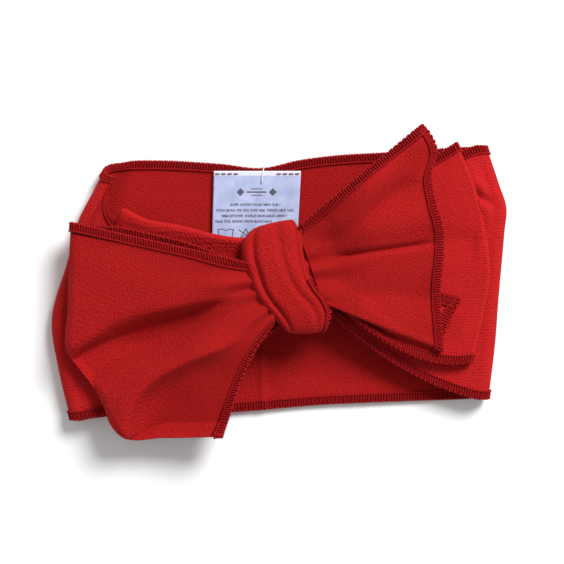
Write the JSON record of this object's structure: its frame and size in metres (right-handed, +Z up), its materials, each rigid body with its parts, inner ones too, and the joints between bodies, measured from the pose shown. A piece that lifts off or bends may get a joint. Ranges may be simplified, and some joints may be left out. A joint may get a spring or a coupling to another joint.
{
  "type": "bow headband",
  "caption": "Wide stretch-cotton headband: one overlocked strip closed into a ring and knotted into a two-loop bow with tails, lying flat on its back.",
  "frame": {"origin": "middle of the box in X and Y, on the surface that the flattened ring's back lies on", "axes": "+X across the flattened ring, +Y to the band's upper edge where the label is sewn, +Z up through the knot"},
  "size_m": [0.2286, 0.1548, 0.0345],
  "materials": {
    "red_jersey": "matte ribbed cotton",
    "overlock_thread": "matte spun thread",
    "label_satin": "satin",
    "nylon": "clear nylon filament"
  },
  "bodies": {
    "back": {"back_panel": "red_jersey", "back_panel_upper_seam": "overlock_thread", "back_panel_lower_seam": "overlock_thread", "left_turn": "red_jersey", "left_turn_upper_seam": "overlock_thread", "left_turn_lower_seam": "overlock_thread", "right_turn": "red_jersey", "right_turn_upper_seam": "overlock_thread", "right_turn_lower_seam": "overlock_thread", "label_header": "label_satin", "label_stitching": "overlock_thread", "tag_filament": "nylon"},
    "front": {"left_front": "red_jersey", "left_front_upper_seam": "overlock_thread", "left_front_lower_seam": "overlock_thread", "right_front": "red_jersey", "right_front_upper_seam": "overlock_thread", "right_front_lower_seam": "overlock_thread", "knot_wrap": "red_jersey", "knot_core": "red_jersey", "left_tail": "red_jersey", "left_tail_end_seam": "overlock_thread"},
    "left_loop": {"left_loop_gather": "red_jersey", "left_loop_front": "red_jersey", "left_loop_front_upper_seam": "overlock_thread", "left_loop_front_lower_seam": "overlock_thread", "left_loop_back": "red_jersey", "left_loop_back_upper_seam": "overlock_thread", "left_loop_back_lower_seam": "overlock_thread"},
    "right_loop": {"right_loop_gather": "red_jersey", "right_loop_front": "red_jersey", "right_loop_front_upper_seam": "overlock_thread", "right_loop_front_lower_seam": "overlock_thread", "right_loop_back": "red_jersey", "right_loop_back_upper_seam": "overlock_thread", "right_loop_back_lower_seam": "overlock_thread"},
    "right_tail": {"right_tail_gather": "red_jersey", "right_tail": "red_jersey", "right_tail_upper_seam": "overlock_thread", "right_tail_turn_under": "red_jersey", "right_tail_turn_under_upper_seam": "overlock_thread", "right_tail_end_seam": "overlock_thread", "right_tail_turn_under_end_seam": "overlock_thread"},
    "label": {"care_label": "label_satin"}
  },
  "joints": [
    {"name": "ring_open", "type": "slide", "parent": "back", "child": "front", "axis": [0, 0, 1], "range_m": [0, 0.02], "deforming": ["left_turn", "left_turn_upper_seam", "left_turn_lower_seam", "right_turn", "right_turn_upper_seam", "right_turn_lower_seam"]},
    {"name": "left_loop_lift", "type": "hinge", "parent": "front", "child": "left_loop", "pos_m": [-0.01226, -0.00014, 0.02758], "axis": [-0.3223, 0.9466, 0], "range_deg": [0, 75]},
    {"name": "right_loop_lift", "type": "hinge", "parent": "front", "child": "right_loop", "pos_m": [0.02214, 0.01157, 0.02935], "axis": [0.3223, -0.9466, 0], "range_deg": [0, 55]},
    {"name": "right_tail_lift", "type": "hinge", "parent": "right_loop", "child": "right_tail", "pos_m": [0.02214, 0.01157, 0.02935], "axis": [0.3223, -0.9466, 0], "range_deg": [0, 40]},
    {"name": "label_flap", "type": "hinge", "parent": "back", "child": "label", "pos_m": [-0.01149, 0.05504, 0.00165], "axis": [-1, 0, 0], "range_deg": [0, 12]}
  ]
}
